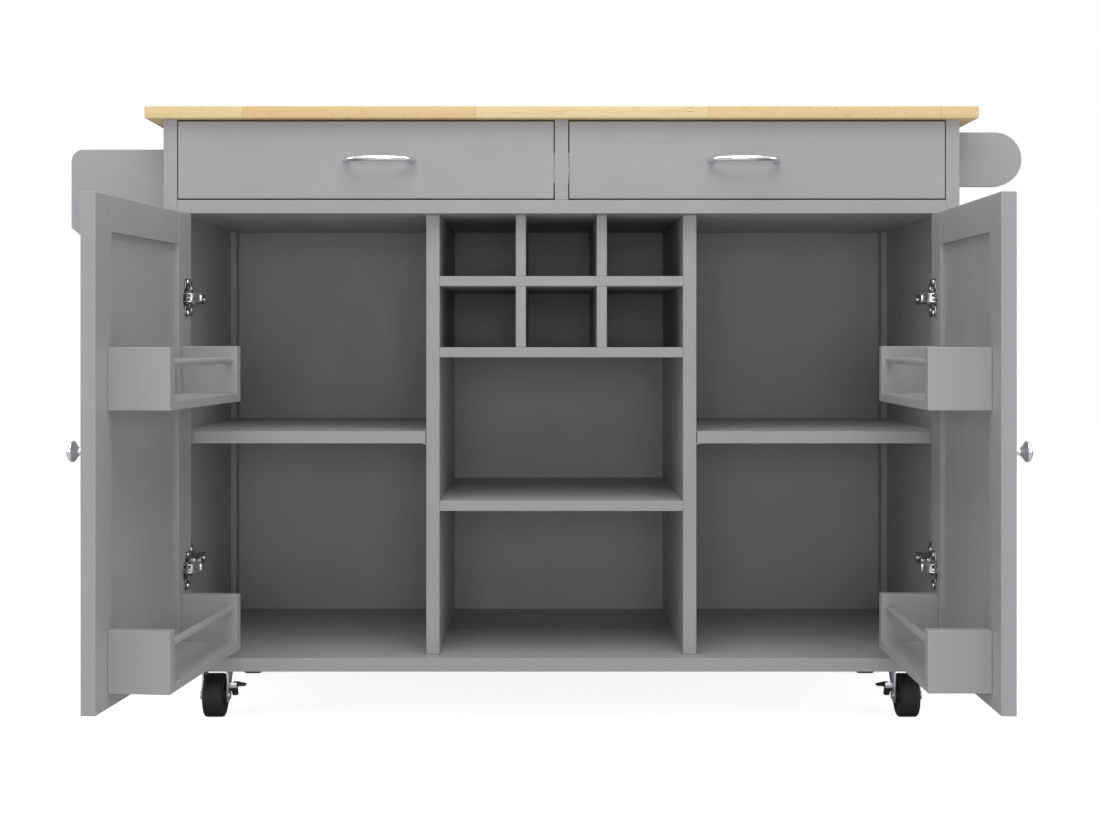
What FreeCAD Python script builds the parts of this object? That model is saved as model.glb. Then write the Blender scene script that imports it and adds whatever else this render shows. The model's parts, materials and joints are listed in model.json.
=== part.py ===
# Kitchen island on casters. A painted cart carries an oak worktop and holds two drawers, two
# cupboards with open doors and an open middle with bottle cells over two bays. The origin is on
# the floor under the middle of the cart, the front faces -Y and up is +Z. Millimetres.
import FreeCAD, Part
import os
import re
import Sketcher
from FreeCAD import Rotation, Vector

# Driving dimensions
SIZES = {
    # overall
    "total_height": 910, "top_length": 1220, "top_depth": 470, "top_thick": 18,
    "body_width": 1171, "body_depth": 440, "board": 20, "arris": 1, "caster_height": 80,
    # fixed boards of the cart
    "deck_top": 774, "divider": 20, "setback": 26, "back_inset": 8, "back_thick": 5,
    "middle_half": 181, "rear_rail_high": 60, "rear_rail_thick": 20,
    "batten_wide": 10, "batten_deep": 28, "batten_gap": 1,
    # bottle cells and shelves
    "wine_board": 15, "cell_high": 91, "wine_offset": 60.3, "middle_shelf_top": 328.5,
    "side_shelf_top": 432, "side_shelf_thick": 18, "pin_dia": 5, "pin_depth": 10, "pin_reach": 8,
    "pin_line": 150, "shelf_slack": 1,
    # drawers
    "drawer_gap": 1.5, "drawer_low": 776, "drawer_high": 889.5, "front_thick": 18,
    "box_board": 12, "box_low": 785, "box_high": 865, "box_depth": 370, "slide_gap": 13,
    "groove_deep": 6, "groove_rise": 6, "tray_thick": 5,
    "runner_low": 800, "runner_high": 45, "runner_wall": 1.5, "runner_lip": 9,
    "slide_bar_in": 2.5, "slide_bar_margin": 3, "runner_back": 15,
    # bow pulls
    "pull_centre": 268, "pull_level": 832.5, "pull_spacing": 96, "pull_bar": 8.5, "pull_foot": 12.5,
    "foot_length": 6, "pull_bend": 16, "pull_turn": 68,
    # doors
    "door_gap": 1.5, "door_width": 371, "door_low": 101.6, "door_high": 752.4, "door_thick": 19.5,
    "stile": 55, "rail": 47, "panel_thick": 7, "panel_tongue": 8,
    "pivot_in": 1.2, "pivot_out": 1, "open_left": 95.8, "open_right": 89.5,
    # round knobs
    "knob_level": 428, "knob_inset": 27.5, "knob_dia": 27, "knob_reach": 27,
    "stem_dia": 13, "neck_dia": 10, "neck_long": 12, "cap_start": 20, "cap_end": 22,
    # hinge cups, in from the side panel and back from the front plane
    "hinge_low": 233, "hinge_high": 630, "cup_in": 21.5, "cup_dia": 35, "cup_wall": 0.5,
    "cup_deep": 14, "flange_thick": 1.2, "flange_ring": 38, "ear_thick": 2, "ear_tall": 54,
    "ear_wide": 22, "mouth_half": 7.5, "cup_screw": 22.5, "cup_screw_dia": 7, "cup_screw_head": 1.5,
    "rivet_dia": 2.5, "rivet_in": 8.5, "rivet_back": 15.5, "rivet_half": 9.9, "rivet_play": 0.05,
    # hinge links
    "link_half": 6.5, "link_wall": 1.4, "link_heel": 4.6, "link_toe": 5.2, "crank_drop": 6.4,
    "web_near": 2, "web_far": 9.5, "link_closed": -14.48,
    "link_turn_left": 161.2, "link_turn_right": 153.81,
    # hinge arms and plates, in from the side panel and back from the front plane
    "nose_in": 32.5, "nose_back": 9.3, "nose_dia": 5.2, "arm_half": 4.4,
    "bar_in": 17, "bar_out": 9.5, "bar_half": 7.5, "bar_front": 44, "bar_rear": 120,
    "rise_half": 7, "rise_front": 70, "rise_rear": 116,
    "wing_thick": 2, "wing_wide": 26, "wing_tall": 55, "wing_back": 86,
    "plate_screw": 16, "plate_screw_dia": 8, "plate_screw_head": 2,
    "set_front": 78, "set_rear": 110, "set_dia": 6.5, "set_head": 1.5,
    # racks inside the doors
    "rack_deep": 81.5, "rack_tall": 80, "rack_board": 18, "rack_shelf": 12, "rack_low": 121,
    "rack_high": 479, "rack_hinge_side": 24, "rack_free_side": 40, "dowel_dia": 10,
    "dowel_drop": 20, "dowel_back": 10, "dowel_sink": 5,
    # racks on the ends
    "end_board": 15, "end_setback": 50, "end_setback_rear": 10,
    "spice_out": 150, "spice_top": 854, "spice_low": 712, "spice_cut_up": 25, "spice_cut_in": 28,
    "spice_corner": 18, "spice_shelf_low": 730, "spice_shelf_in": 12, "spice_rail_low": 790,
    "spice_rail_high": 30, "spice_rail_thick": 10,
    "towel_out": 105.7, "towel_low": 798.8, "towel_high": 879.6, "towel_dia": 20,
    "towel_sink": 8,
    # casters
    "caster_side": 521, "swivel_inset": 82, "trail": 20,
    "wheel_dia": 65, "wheel_wide": 30, "wheel_round": 6, "flank_deep": 4, "flank_out": 8,
    "flank_in": 11, "hub_dia": 22, "hub_half": 16.4, "axle_dia": 8, "axle_play": 0.1,
    "plate_half_x": 27, "plate_half_y": 30, "plate_thick": 3, "race_dia": 40, "race_low": 71.2,
    "crown_low": 68, "crown_thick": 3, "leg_gap": 17, "leg_thick": 3, "leg_deep": 44, "leg_shift": 4,
    "leg_waist": 9, "leg_foot": 5, "leg_drop": 11, "nut_dia": 13, "nut_thick": 2.5,
    "screw_x": 19, "screw_y": 23, "screw_dia": 8, "screw_head": 2,
    "kingpin_dia": 12, "kingpin_play": 0.1, "rivet_head": 1.5,
    # brake levers, measured from their caster's swivel line and the floor
    "pad_in": 16.2, "pad_low": 35, "pad_high": 38, "web_out": 21.5, "skirt_in": 23, "skirt_out": 30,
    "skirt_low": 29, "pedal_root": 28.5, "pedal_out": 42, "pedal_low": 43, "pedal_high": 45,
    "lever_low": 42, "lever_high": 48, "lever_back": 4, "lever_wide": 12, "lever_pin": 3,
    "lever_pivot": 26.5, "lever_level": 44.8, "slot_low": 28, "slot_high": 42,
    "lug_gap": 0.3, "lug_half": 4,
}

doc = FreeCAD.newDocument("kitchen_island")
sheet = doc.addObject("Spreadsheet::Sheet", "dims")
for row, (alias, size) in enumerate(SIZES.items(), 1):
    sheet.set(f"A{row}", alias)
    sheet.set(f"B{row}", str(size))
    sheet.setAlias(f"B{row}", alias)
doc.recompute()

# Planes and edges worked out from the sheet, as expressions
FRONT = "-body_depth / 2"
SET_FRONT = f"{FRONT} + setback"
BACK = "body_depth / 2 - back_inset"
INNER = "body_width / 2 - board"
BENCH = "total_height - top_thick"
DECK_LOW = "deck_top - board"
FLOOR_TOP = "caster_height + board"
CUPBOARD = "middle_half + board"
CELL_ONE = "deck_top - board - cell_high"
CELL_TWO = f"{CELL_ONE} - wine_board - cell_high"
SIDES = {"left": -1, "right": 1}


def bound(text):
    """The expression with the sheet's name put before each of its aliases."""
    return re.sub(r"[a-z_]{3,}", lambda word: f"dims.{word[0]}" if word[0] in SIZES else word[0], str(text))


def number(text):
    """What an expression comes to now, as a plain number."""
    result = sheet.evalExpression(bound(text))
    return float(getattr(result, "Value", result))


def bind(thing, **properties):
    """Binds properties of an object to expressions, with two underscores for each dot."""
    for name, text in properties.items():
        thing.setExpression(name.replace("__", "."), bound(text))


def drawing_on(body, plane, start, name="outline"):
    """An empty sketch on one of the body's own planes, moved along the plane's normal. The XZ
    plane's normal is -Y, so its start is given as a Y value and turned round here."""
    faces = {feature.Role: feature for feature in body.Origin.OriginFeatures}
    drawing = body.newObject("Sketcher::SketchObject", f"{body.Name}_{name}")
    drawing.AttachmentSupport = [(faces[f"{plane}_Plane"], "")]
    drawing.MapMode = "FlatFace"
    bind(drawing, AttachmentOffset__Base__z=f"-({start})" if plane == "XZ" else start)
    return drawing


def fix(drawing, kind, index, end, text):
    """One dimension of a sketch, bound to the sheet."""
    spot = (index, end) if kind != "Radius" else (index,)
    place = drawing.addConstraint(Sketcher.Constraint(kind, *spot, number(text)))
    drawing.setExpression(f"Constraints[{place}]", bound(text))


def draw(drawing, corners, arcs=None, closed=True):
    """A run of lines and arcs through the corners, each corner bound to the sheet. arcs gives
    the radius of the arc after a corner, positive where it bulges to the right of its way."""
    arcs = arcs or {}
    spots = [Vector(number(x), number(y), 0) for x, y in corners]
    ends = []
    for index in range(len(spots) if closed else len(spots) - 1):
        here, there = spots[index], spots[(index + 1) % len(spots)]
        radius = number(arcs.get(index, 0))
        if radius == 0:
            drawing.addGeometry(Part.LineSegment(here, there))
        else:
            chord = there - here
            rise = abs(radius) - (radius * radius - (chord.Length / 2) ** 2) ** 0.5
            out = Vector(chord.y, -chord.x, 0).normalize() * (rise if radius > 0 else -rise)
            first, last = (here, there) if radius > 0 else (there, here)
            drawing.addGeometry(Part.Arc(first, (here + there) / 2 + out, last))
            fix(drawing, "Radius", index, 0, f"abs({arcs[index]})")
        ends.append((1, 2) if radius >= 0 else (2, 1))
    for index, (begin, end) in enumerate(ends):
        fix(drawing, "DistanceX", index, begin, corners[index][0])
        fix(drawing, "DistanceY", index, begin, corners[index][1])
        if closed or index + 1 < len(ends):
            after = (index + 1) % len(ends)
            drawing.addConstraint(Sketcher.Constraint("Coincident", index, end, after, ends[after][0]))
        else:
            fix(drawing, "DistanceX", index, end, corners[-1][0])
            fix(drawing, "DistanceY", index, end, corners[-1][1])
    return drawing


def prism(label, plane, corners, start, length, arcs=None, soft=True):
    """A board: an outline padded along its plane's normal, which is -Y for the XZ plane, with
    all its edges eased by the arris."""
    body = doc.addObject("PartDesign::Body", label)
    pad = body.newObject("PartDesign::Pad", f"{label}_pad")
    pad.Profile = draw(drawing_on(body, plane, start), corners, arcs)
    bind(pad, Length=length)
    body.Tip = pad
    if soft:
        doc.recompute()
        ease = body.newObject("PartDesign::Fillet", f"{label}_ease")
        ease.Base = (pad, [f"Edge{count}" for count in range(1, len(pad.Shape.Edges) + 1)])
        bind(ease, Radius="arris")
        body.Tip = ease
    return body


def slab(label, low, high, soft=True):
    """A rectangular board between two corners."""
    corners = [(low[0], low[1]), (high[0], low[1]), (high[0], high[1]), (low[0], high[1])]
    return prism(label, "XY", corners, low[2], f"({high[2]}) - ({low[2]})", soft=soft)


def block(label, low, high):
    """A plain box between two corners, lowest values first."""
    box = doc.addObject("Part::Box", label)
    for name, start, end in zip(("Length", "Width", "Height"), low, high):
        box.setExpression(name, bound(f"({end}) - ({start})"))
    bind(box, Placement__Base__x=low[0], Placement__Base__y=low[1], Placement__Base__z=low[2])
    return box


TURNS = {"X": Rotation(Vector(0, 1, 0), 90), "Y": Rotation(Vector(1, 0, 0), -90), "Z": Rotation()}


def rod(label, dia, length, start, axis="Z"):
    """A round bar from a start point along +X, +Y or +Z."""
    bar = doc.addObject("Part::Cylinder", label)
    bar.Placement.Rotation = TURNS[axis]
    bind(bar, Radius=f"({dia}) / 2", Height=length, Placement__Base__x=start[0],
         Placement__Base__y=start[1], Placement__Base__z=start[2])
    return bar


def group(label, pieces):
    """Several separate solids in one sub-part."""
    whole = doc.addObject("Part::Compound", label)
    whole.Links = pieces
    return whole


def fuse(label, pieces):
    """One solid made from several that overlap."""
    whole = doc.addObject("Part::MultiFuse", label)
    whole.Shapes = pieces
    return whole


def cut(label, base, tool):
    """The base with the tool's space taken out."""
    left_over = doc.addObject("Part::Cut", label)
    left_over.Base = base
    left_over.Tool = tool
    return left_over


def turned(label, profile, level, arcs=None, plane="XY", axis="V_Axis"):
    """A turned piece: a half profile in a plane spun about one of its axes."""
    body = doc.addObject("PartDesign::Body", label)
    spin = body.newObject("PartDesign::Revolution", f"{label}_spin")
    drawing = draw(drawing_on(body, plane, level), profile, arcs)
    spin.Profile = drawing
    spin.ReferenceAxis = (drawing, [axis])
    spin.Angle = 360
    body.Tip = spin
    return body


def turn_to(piece, angle):
    """Turns a piece about the vertical line through its own origin."""
    piece.Placement.Rotation = Rotation(Vector(0, 0, 1), number(angle))
    bind(piece, Placement__Rotation__Angle=angle)


NODES = []


def keep(piece, **place):
    """Marks a sub-part to be written, with its Placement bound where that is given."""
    bind(piece, **place)
    NODES.append(piece)


# Worktop
keep(slab("worktop", ("-top_length / 2", "-top_depth / 2", BENCH),
          ("top_length / 2", "top_depth / 2", "total_height")))


# Fixed boards of the cart
def side_panel(name, side):
    """An end of the cart, with two blind holes for the shelf pins."""
    board = slab(f"{name}_end", (f"{side} * ({INNER})", FRONT, "caster_height"),
                 (f"{side} * body_width / 2", "body_depth / 2", BENCH))
    holes = group(f"{name}_end_holes", pins(f"{name}_end_hole", side, True))
    keep(cut(f"side_panel_{name}", board, holes))


def partition(name, side):
    """A wall between a cupboard and the middle, with two blind holes for the shelf pins."""
    board = slab(f"{name}_wall", (f"{side} * middle_half", SET_FRONT, FLOOR_TOP),
                 (f"{side} * ({CUPBOARD})", BACK, DECK_LOW))
    holes = group(f"{name}_wall_holes", pins(f"{name}_wall_hole", side, False))
    keep(cut(f"partition_{name}", board, holes))


def pins(label, side, outer):
    """Front and rear shelf pins, half sunk into the cart's end or the wall beside the middle."""
    if outer:
        start = f"{INNER} - pin_reach" if side > 0 else f"-({INNER}) - pin_depth"
    else:
        start = f"{CUPBOARD} - pin_depth" if side > 0 else f"-({CUPBOARD}) - pin_reach"
    level = "side_shelf_top - side_shelf_thick - pin_dia / 2"
    return [rod(f"{label}_{count}", "pin_dia", "pin_depth + pin_reach",
                (start, f"{end} * pin_line", level), "X")
            for count, end in enumerate((-1, 1))]


for name, side in SIDES.items():
    side_panel(name, side)
    partition(name, side)

keep(slab("bottom_panel", (f"-({INNER})", FRONT, "caster_height"), (INNER, BACK, FLOOR_TOP)))
keep(slab("drawer_deck", (f"-({INNER})", FRONT, DECK_LOW), (INNER, BACK, "deck_top")))
keep(slab("drawer_divider", ("-divider / 2", FRONT, "deck_top"), ("divider / 2", BACK, BENCH)))
keep(slab("back_panel", (f"-({INNER})", BACK, "caster_height"),
          (INNER, f"{BACK} + back_thick", BENCH), False))

rear_rails = []
battens = []
for name, side in SIDES.items():
    rail_low = (f"{side} * divider / 2", f"{BACK} - rear_rail_thick", f"{BENCH} - rear_rail_high")
    rear_rails.append(slab(f"rear_rail_{name}", rail_low, (f"{side} * ({INNER})", BACK, BENCH)))
    batten_low = (f"{side} * ({INNER} - batten_wide)", f"{BACK} - batten_deep", FLOOR_TOP)
    battens.append(slab(f"batten_{name}", batten_low, (f"{side} * ({INNER})", BACK, DECK_LOW)))
keep(group("top_rear_rail", rear_rails))
keep(group("corner_battens", battens))

# Bottle cells and shelves
wine_shelves = [slab(f"wine_shelf_{count}", ("-middle_half", SET_FRONT, f"{level} - wine_board"),
                     ("middle_half", BACK, level)) for count, level in enumerate((CELL_ONE, CELL_TWO))]
keep(group("wine_shelves", wine_shelves))

wine_dividers = []
for row, level in enumerate((CELL_ONE, CELL_TWO)):
    for name, side in SIDES.items():
        low = (f"{side} * wine_offset - wine_board / 2", SET_FRONT, level)
        high = (f"{side} * wine_offset + wine_board / 2", BACK, f"{level} + cell_high")
        wine_dividers.append(slab(f"wine_divider_{row}_{name}", low, high))
keep(group("wine_dividers", wine_dividers))

keep(slab("middle_shelf", ("-middle_half", SET_FRONT, "middle_shelf_top - wine_board"),
          ("middle_half", BACK, "middle_shelf_top")))


def side_shelf(name, side):
    """A cupboard's shelf, notched at the rear corner for the batten."""
    outer = f"{side} * ({INNER} - shelf_slack)"
    notch_x = f"{side} * ({INNER} - batten_wide - batten_gap)"
    notch_y = f"{BACK} - batten_deep - batten_gap"
    wall = f"{side} * ({CUPBOARD} + shelf_slack)"
    corners = [(wall, SET_FRONT), (outer, SET_FRONT), (outer, notch_y), (notch_x, notch_y),
               (notch_x, BACK), (wall, BACK)]
    keep(prism(f"side_shelf_{name}", "XY", corners, "side_shelf_top - side_shelf_thick", "side_shelf_thick"))


shelf_pins = []
for name, side in SIDES.items():
    side_shelf(name, side)
    shelf_pins += pins(f"pin_{name}_end", side, True) + pins(f"pin_{name}_wall", side, False)
keep(group("shelf_pins", shelf_pins))


# Drawers
BOX_OUT = f"{INNER} - slide_gap"
BOX_IN = "divider / 2 + slide_gap"
BOX_FRONT = f"{FRONT} + front_thick"
BOX_BACK = f"{BOX_FRONT} + box_depth"
TRAY_LOW = "box_low + groove_rise"


def across(side, small, large):
    """The two X values of a piece on one side, lowest first."""
    return (small, large) if side > 0 else (f"-({large})", f"-({small})")


def drawer(name, side):
    """A drawer: an inset front, a box of four boards grooved for its tray, and a bow pull."""
    left, right = across(side, "divider / 2 + drawer_gap", f"{INNER} - drawer_gap")
    keep(slab(f"drawer_front_{name}", (left, FRONT, "drawer_low"), (right, BOX_FRONT, "drawer_high")))
    left, right = across(side, BOX_IN, BOX_OUT)
    in_left, in_right = f"{left} + box_board", f"{right} - box_board"
    in_front, in_back = f"{BOX_FRONT} + box_board", f"{BOX_BACK} - box_board"
    tray_low = (f"{in_left} - groove_deep", f"{in_front} - groove_deep", TRAY_LOW)
    tray_high = (f"{in_right} + groove_deep", f"{in_back} + groove_deep", f"{TRAY_LOW} + tray_thick")
    boards = {
        "near": ((left, BOX_FRONT, "box_low"), (in_left, BOX_BACK, "box_high")),
        "far": ((in_right, BOX_FRONT, "box_low"), (right, BOX_BACK, "box_high")),
        "front": ((in_left, BOX_FRONT, "box_low"), (in_right, in_front, "box_high")),
        "rear": ((in_left, in_back, "box_low"), (in_right, BOX_BACK, "box_high")),
    }
    pieces = []
    for board, (low, high) in boards.items():
        groove = block(f"{name}_{board}_groove", tray_low, tray_high)
        pieces.append(cut(f"{name}_{board}", slab(f"{name}_{board}_board", low, high), groove))
    keep(group(f"drawer_box_{name}", pieces))
    keep(block(f"drawer_bottom_{name}", tray_low, tray_high))
    bar_low, bar_high = "runner_low + slide_bar_margin", "runner_low + runner_high - slide_bar_margin"
    bars = []
    for place, small, large in (("outer", BOX_OUT, f"{INNER} - slide_bar_in"),
                                ("inner", "divider / 2 + slide_bar_in", BOX_IN)):
        left, right = across(side, small, large)
        bars.append(block(f"{name}_slide_{place}", (left, BOX_FRONT, bar_low), (right, BOX_BACK, bar_high)))
    keep(group(f"drawer_slides_{name}", bars))


def runner(label, wall, way):
    """A fixed channel on a wall, open towards the drawer."""
    lip, web = "runner_lip", "runner_wall"
    low, high = "runner_low", "runner_low + runner_high"
    profile = [("0", low), (lip, low), (lip, f"{low} + {web}"), (web, f"{low} + {web}"),
               (web, f"{high} - {web}"), (lip, f"{high} - {web}"), (lip, high), ("0", high)]
    corners = [(f"({wall}) + {way} * {reach}", level) for reach, level in profile]
    return prism(label, "XZ", corners, f"{BOX_BACK} + runner_back", "box_depth + runner_back", soft=False)


def pull(name, side):
    """A bow pull: a bent bar on two flared feet."""
    body = doc.addObject("PartDesign::Body", f"{name}_bow")
    ends = "pull_spacing / 2"
    bend_x = f"({ends} - pull_bend * (1 - cos(pull_turn)))"
    bend_y = f"({FRONT} - foot_length - pull_bend * sin(pull_turn))"
    bow = f"({bend_x} / sin(90 - pull_turn))"
    points = [(f"-{ends}", FRONT), (f"-{ends}", f"{FRONT} - foot_length"), (f"-{bend_x}", bend_y),
              (bend_x, bend_y), (ends, f"{FRONT} - foot_length"), (ends, FRONT)]
    bends = {1: "pull_bend", 2: bow, 3: "pull_bend"}
    path = draw(drawing_on(body, "XY", 0, "path"), points, bends, closed=False)
    section = drawing_on(body, "XZ", FRONT, "section")
    start = Vector(number(points[0][0]), 0, 0)
    section.addGeometry(Part.Circle(start, Vector(0, 0, 1), number("pull_bar / 2")))
    fix(section, "DistanceX", 0, 3, points[0][0])
    fix(section, "DistanceY", 0, 3, "0")
    fix(section, "Radius", 0, 0, "pull_bar / 2")
    sweep = body.newObject("PartDesign::AdditivePipe", f"{name}_sweep")
    sweep.Profile = section
    sweep.Spine = path
    body.Tip = sweep
    feet = []
    for way in (-1, 1):
        foot = doc.addObject("Part::Cone", f"{name}_foot_{way}")
        foot.Placement.Rotation = Rotation(Vector(1, 0, 0), 90)
        bind(foot, Radius1="pull_foot / 2", Radius2="pull_bar / 2", Height="foot_length",
             Placement__Base__x=f"{way} * {ends}", Placement__Base__y=FRONT)
        feet.append(foot)
    whole = fuse(f"drawer_pull_{name}", [body] + feet)
    keep(whole, Placement__Base__x=f"{side} * pull_centre", Placement__Base__z="pull_level")


runners = []
for name, side in SIDES.items():
    drawer(name, side)
    pull(name, side)
    runners.append(runner(f"{name}_runner_end", f"{side} * ({INNER})", -side))
    runners.append(runner(f"{name}_runner_divider", f"{side} * divider / 2", side))
keep(group("drawer_runners", runners))


# Doors, modelled closed about their pivot line and then turned open
DOOR_START = "door_gap - pivot_in"
DOOR_END = "door_gap - pivot_in + door_width"
DOOR_FACE = "pivot_out"
DOOR_BACK = "pivot_out + door_thick"


def hang(piece, name, side):
    """Places a piece of a door at the pivot line and opens it to its resting angle."""
    turn_to(piece, f"{side} * open_{name}")
    keep(piece, Placement__Base__x=f"{side} * ({INNER} - pivot_in)",
         Placement__Base__y=f"{FRONT} - pivot_out")


def door_slab(label, side, low, high, soft=True):
    """A board of a door, with X counted from the pivot line towards the free edge."""
    near, far = (f"{-side} * ({corner[0]})" for corner in (low, high))
    return slab(label, (near, low[1], low[2]), (far, high[1], high[2]), soft)


def door_block(label, side, low, high):
    """A plain box of a door, with X counted from the pivot line towards the free edge."""
    small, large = across(-side, low[0], high[0])
    return block(label, (small, low[1], low[2]), (large, high[1], high[2]))


def door(name, side):
    """A frame-and-panel door: stiles full height, rails between them, a panel in their grooves."""
    near, far = f"{DOOR_START} + stile", f"{DOOR_END} - stile"
    panel_y = "pivot_out + door_thick / 2 - panel_thick / 2"
    panel_low = (f"{near} - panel_tongue", panel_y, "door_low + rail - panel_tongue")
    panel_high = (f"{far} + panel_tongue", f"{panel_y} + panel_thick", "door_high - rail + panel_tongue")
    boards = {
        "hinge_stile": ((DOOR_START, DOOR_FACE, "door_low"), (near, DOOR_BACK, "door_high")),
        "free_stile": ((far, DOOR_FACE, "door_low"), (DOOR_END, DOOR_BACK, "door_high")),
        "low_rail": ((near, DOOR_FACE, "door_low"), (far, DOOR_BACK, "door_low + rail")),
        "high_rail": ((near, DOOR_FACE, "door_high - rail"), (far, DOOR_BACK, "door_high")),
    }
    pieces = []
    for board, (low, high) in boards.items():
        tools = [door_block(f"{name}_{board}_groove", side, panel_low, panel_high)]
        if board == "hinge_stile":
            tools += [rod(f"{name}_cup_hole_{level}", "cup_dia", "cup_deep",
                          (f"{-side} * (cup_in - pivot_in)", f"{DOOR_BACK} - cup_deep", level), "Y")
                      for level in ("hinge_low", "hinge_high")]
        plain = door_slab(f"{name}_{board}_board", side, low, high)
        pieces.append(cut(f"{name}_{board}", plain, group(f"{name}_{board}_cuts", tools)))
    hang(group(f"door_frame_{name}", pieces), name, side)
    panel = door_block(f"{name}_panel_board", side, panel_low, panel_high)
    hang(group(f"door_panel_{name}", [panel]), name, side)


# A knob's half profile from the door outwards, and the radius of each of its curved stretches
KNOB = [("0", "0"), ("stem_dia / 2", "0"), ("neck_dia / 2", "-3"),
        ("neck_dia / 2", "-neck_long"), ("12", "-17.5"),
        ("knob_dia / 2", "-cap_start"), ("knob_dia / 2", "-cap_end"), ("11", "-25.4"), ("0", "-knob_reach")]
KNOB_CURVES = {2: 15, 6: -6, 7: -40}


def knob(name, side):
    """A turned mushroom knob on the free stile, its stem against the door's outer face."""
    body = turned(f"{name}_knob_turned", KNOB, 0, KNOB_CURVES)
    bind(body, Placement__Base__x=f"{-side} * ({DOOR_END} - knob_inset)", Placement__Base__y=DOOR_FACE,
         Placement__Base__z="knob_level")
    hang(group(f"door_knob_{name}", [body]), name, side)


# Concealed hinges
def cups(name, side):
    """The sprung cups let into a door, each with its ring, open on the link's side, two ears with
    a screw each, and a rivet across."""
    pieces = []
    centre = f"{-side} * (cup_in - pivot_in)"
    floor = f"{DOOR_BACK} - cup_deep"
    through = "cup_deep + ear_thick"
    for place in ("low", "high"):
        level = f"hinge_{place}"
        tag = f"{name}_{place}"
        outer = rod(f"{tag}_cup_outer", "cup_dia", "cup_deep", (centre, floor, level), "Y")
        ring = rod(f"{tag}_cup_ring", "flange_ring", "flange_thick", (centre, DOOR_BACK, level), "Y")
        ears = block(f"{tag}_cup_ears",
                     (f"{centre} - ear_wide / 2", DOOR_BACK, f"{level} - ear_tall / 2"),
                     (f"{centre} + ear_wide / 2", f"{DOOR_BACK} + ear_thick", f"{level} + ear_tall / 2"))
        bowl = rod(f"{tag}_cup_bowl", "cup_dia - 2 * cup_wall", through,
                   (centre, f"{floor} + cup_wall", level), "Y")
        small, large = across(-side, "0", "cup_in - pivot_in")
        mouth = block(f"{tag}_cup_mouth", (small, DOOR_BACK, f"{level} - mouth_half"),
                      (large, f"{DOOR_BACK} + ear_thick", f"{level} + mouth_half"))
        whole = fuse(f"{tag}_cup_whole", [outer, ring, ears])
        shell = cut(f"{tag}_cup_shell", whole, group(f"{tag}_cup_cuts", [bowl, mouth]))
        rivet = rod(f"{tag}_rivet", "rivet_dia", "2 * rivet_half",
                    (f"{-side} * (rivet_in - pivot_in)", "rivet_back + pivot_out", f"{level} - rivet_half"))
        pieces.append(fuse(f"{tag}_cup", [shell, rivet]))
        for way in (-1, 1):
            pieces.append(rod(f"{tag}_cup_screw_{way}", "cup_screw_dia", "cup_screw_head",
                              (centre, f"{DOOR_BACK} + ear_thick", f"{level} + {way} * cup_screw"), "Y"))
    hang(group(f"hinge_cups_{name}", pieces), name, side)


# A link's cheek, with X from the rivet towards the arm's nose. It drops away from the straight
# line between them so that it passes round the cup's rim when the door is open
LINK_LONG = "(((nose_in - rivet_in) ^ 2 + (nose_back - rivet_back) ^ 2) ^ 0.5)"
CRANK = [("-1.9", "-1.3"), ("-1.2", "-4.2"), ("web_near", "-crank_drop"), ("web_far", "-crank_drop"),
         (LINK_LONG, "-link_toe / 2"), (LINK_LONG, "link_toe / 2"), (f"{LINK_LONG} / 2", "link_toe / 2"),
         ("9.2", "0"), ("7.6", "-1.9"), ("5.5", "-2.7"), ("3.4", "-2.7"), ("2", "-1.1")]


def links(name, side):
    """The links of a door's hinges: two cranked cheeks each on the cup's rivet, joined by a web."""
    pieces = []
    outline = [(f"{-side} * ({x})", y) for x, y in CRANK]
    for place in ("low", "high"):
        level = f"hinge_{place}"
        tag = f"{name}_{place}_link"
        cheeks = []
        for way in (-1, 1):
            start = f"{level} + link_half - link_wall" if way > 0 else f"{level} - link_half"
            cheeks += [prism(f"{tag}_crank_{way}", "XY", outline, start, "link_wall", soft=False),
                       rod(f"{tag}_heel_{way}", "link_heel", "link_wall", ("0", "0", start)),
                       rod(f"{tag}_toe_{way}", "link_toe", "link_wall",
                           (f"{-side} * {LINK_LONG}", "0", start))]
        small, large = across(-side, "web_near", "web_far")
        web = block(f"{tag}_web", (small, "-crank_drop", f"{level} - link_half"),
                    (large, "-crank_drop + link_wall", f"{level} + link_half"))
        hole = rod(f"{tag}_hole", "rivet_dia + 2 * rivet_play", "2 * rivet_half",
                   ("0", "0", f"{level} - rivet_half"))
        pieces.append(cut(tag, fuse(f"{tag}_whole", cheeks + [web]), hole))
    rivet_x, rivet_y = "(rivet_in - pivot_in)", "(rivet_back + pivot_out)"
    out_x = f"({rivet_x} * cos(open_{name}) + {rivet_y} * sin(open_{name}))"
    out_y = f"({rivet_y} * cos(open_{name}) - {rivet_x} * sin(open_{name}))"
    whole = group(f"hinge_links_{name}", pieces)
    turn_to(whole, f"{-side} * (link_closed + link_turn_{name} - open_{name})")
    keep(whole, Placement__Base__x=f"{side} * ({INNER} - pivot_in - {out_x})",
         Placement__Base__y=f"{FRONT} - pivot_out + {out_y}")


# The neck of a hinge's arm, in from the side panel and back from the front plane
NECK = [("30.3", "8"), ("34.7", "10.6"), ("18.5", "43"), ("bar_in", "46"), ("11", "46"), ("11", "40")]


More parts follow.
